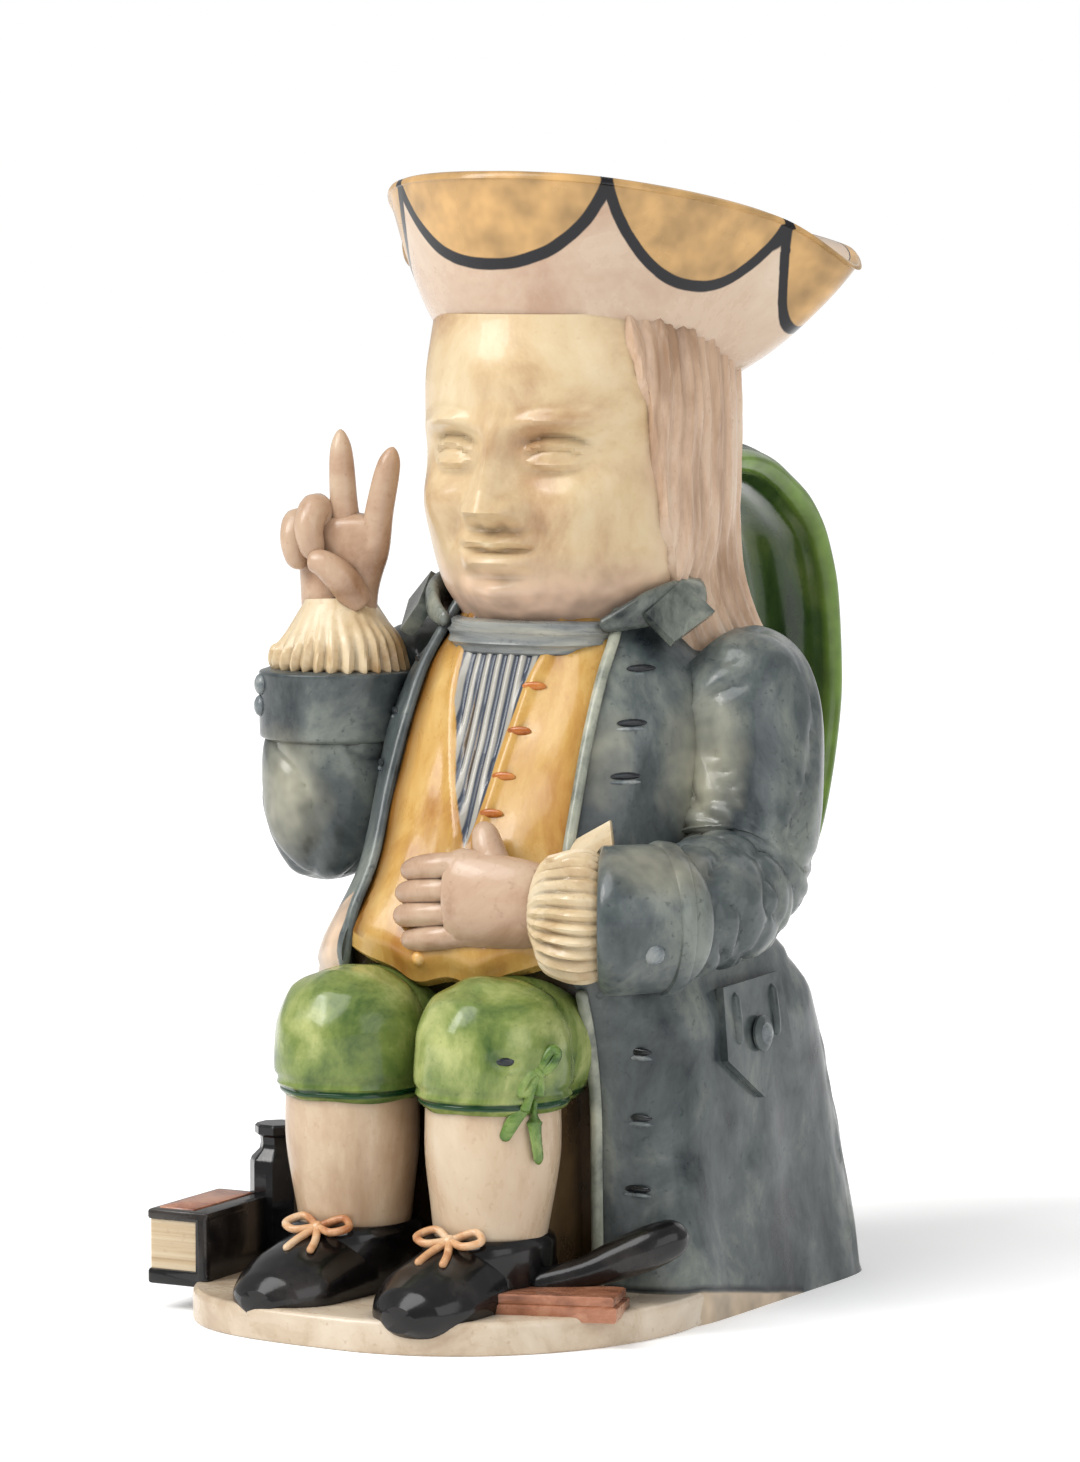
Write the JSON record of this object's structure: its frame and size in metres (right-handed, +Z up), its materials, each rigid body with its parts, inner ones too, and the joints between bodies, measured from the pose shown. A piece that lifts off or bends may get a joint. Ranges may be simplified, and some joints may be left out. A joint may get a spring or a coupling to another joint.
{
  "type": "toby jug",
  "caption": "Glazed pottery toby jug: a seated figure in coat and breeches, hollow inside, whose cocked hat is the open mouth, with a strap handle behind.",
  "frame": {"origin": "middle of the flat underside of the base, on the table", "axes": "+Z up from the base to the hat, -Y the way the figure faces, +X its left hand side, and the handle is on +Y"},
  "size_m": [0.0898, 0.1439, 0.1725],
  "materials": {
    "glazed_pottery": "gloss"
  },
  "bodies": {
    "root": {"toby_jug": "glazed_pottery"}
  },
  "joints": []
}
